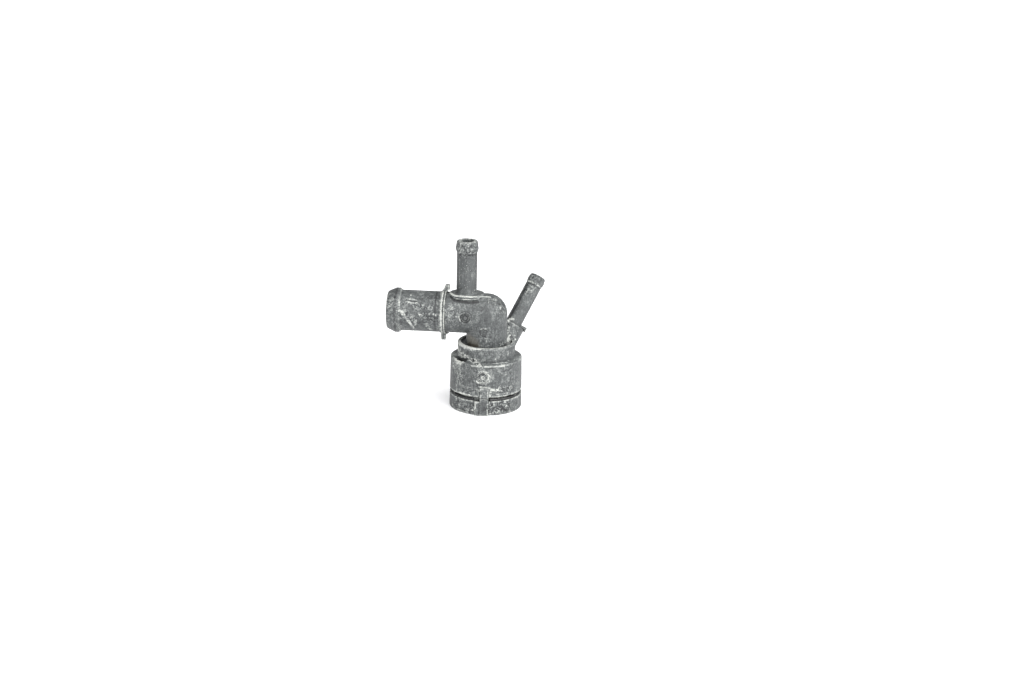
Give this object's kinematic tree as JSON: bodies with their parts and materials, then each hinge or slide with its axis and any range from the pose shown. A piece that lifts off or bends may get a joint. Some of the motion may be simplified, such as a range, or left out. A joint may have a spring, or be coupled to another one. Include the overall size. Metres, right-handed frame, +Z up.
{
  "type": "coolant flange",
  "caption": "Moulded coolant elbow that pushes over a pipe, with a wire retaining clip, a seal ring and three hose spigots.",
  "frame": {"origin": "centre of the open mouth of the socket, in the plane of its rim", "axes": "+Z up the bore of the socket, away from its mouth; -X along the large hose spigot, towards its open end; -Y towards the side with the stop pad"},
  "size_m": [0.1209, 0.0729, 0.1331],
  "materials": {
    "moulded_body": "moulded glass-filled polyamide with dried coolant residue",
    "spring_wire": "drawn spring steel wire",
    "seal_rubber": "moulded rubber"
  },
  "bodies": {
    "root": {"flange_body": "moulded_body", "retaining_clip": "spring_wire", "seal_ring": "seal_rubber"}
  },
  "joints": []
}
